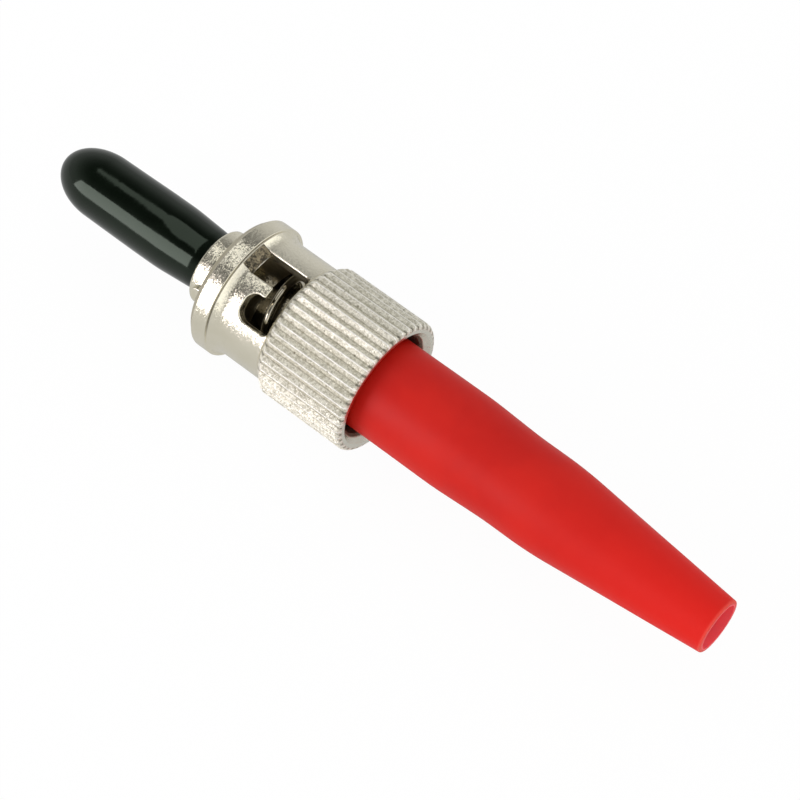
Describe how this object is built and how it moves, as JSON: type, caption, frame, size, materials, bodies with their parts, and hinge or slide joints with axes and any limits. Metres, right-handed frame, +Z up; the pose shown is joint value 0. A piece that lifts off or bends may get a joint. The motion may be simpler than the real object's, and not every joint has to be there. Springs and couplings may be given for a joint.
{
  "type": "bayonet fibre connector plug",
  "caption": "Fibre-optic bayonet plug: ferrule under a push-on dust cap, sprung knurled coupling nut with slotted barrel, and a tapered strain-relief boot.",
  "frame": {"origin": "centre of the ferrule's polished end face, where the light leaves the plug", "axes": "+X along the plug's axis, back towards the cable; +Z up as the plug lies"},
  "size_m": [0.053, 0.0096, 0.0094],
  "materials": {
    "cap_vinyl": "glossy black vinyl",
    "ferrule_zirconia": "polished white zirconia",
    "holder_nickel": "bright nickel plate on turned brass",
    "spring_wire": "drawn spring wire",
    "washer_steel": "plain steel",
    "nut_nickel": "satin nickel plate on a casting",
    "clip_steel": "plain spring steel",
    "sleeve_brass": "nickel plate on brass",
    "boot_red": "satin red soft plastic"
  },
  "bodies": {
    "plug_body": {"ferrule": "ferrule_zirconia", "ferrule_holder": "holder_nickel", "coupling_spring": "spring_wire", "retaining_clip": "clip_steel", "crimp_sleeve": "sleeve_brass", "boot": "boot_red"},
    "nut_carriage": {"thrust_washer": "washer_steel"},
    "coupling_nut": {"bayonet_nut": "nut_nickel"},
    "cap": {"dust_cap": "cap_vinyl"}
  },
  "joints": [
    {"name": "nut_slide", "type": "slide", "parent": "plug_body", "child": "nut_carriage", "axis": [-1, 0, 0], "range_m": [0, 0.0022], "stiffness_N_per_m": 1500, "springref_m": -0.003, "deforming": ["coupling_spring"]},
    {"name": "nut_turn", "type": "hinge", "parent": "nut_carriage", "child": "coupling_nut", "pos_m": [0.015, 0, 0], "axis": [1, 0, 0], "continuous": true},
    {"name": "cap_pull", "type": "slide", "parent": "plug_body", "child": "cap", "axis": [-1, 0, 0], "range_m": [0, 0.009]}
  ]
}
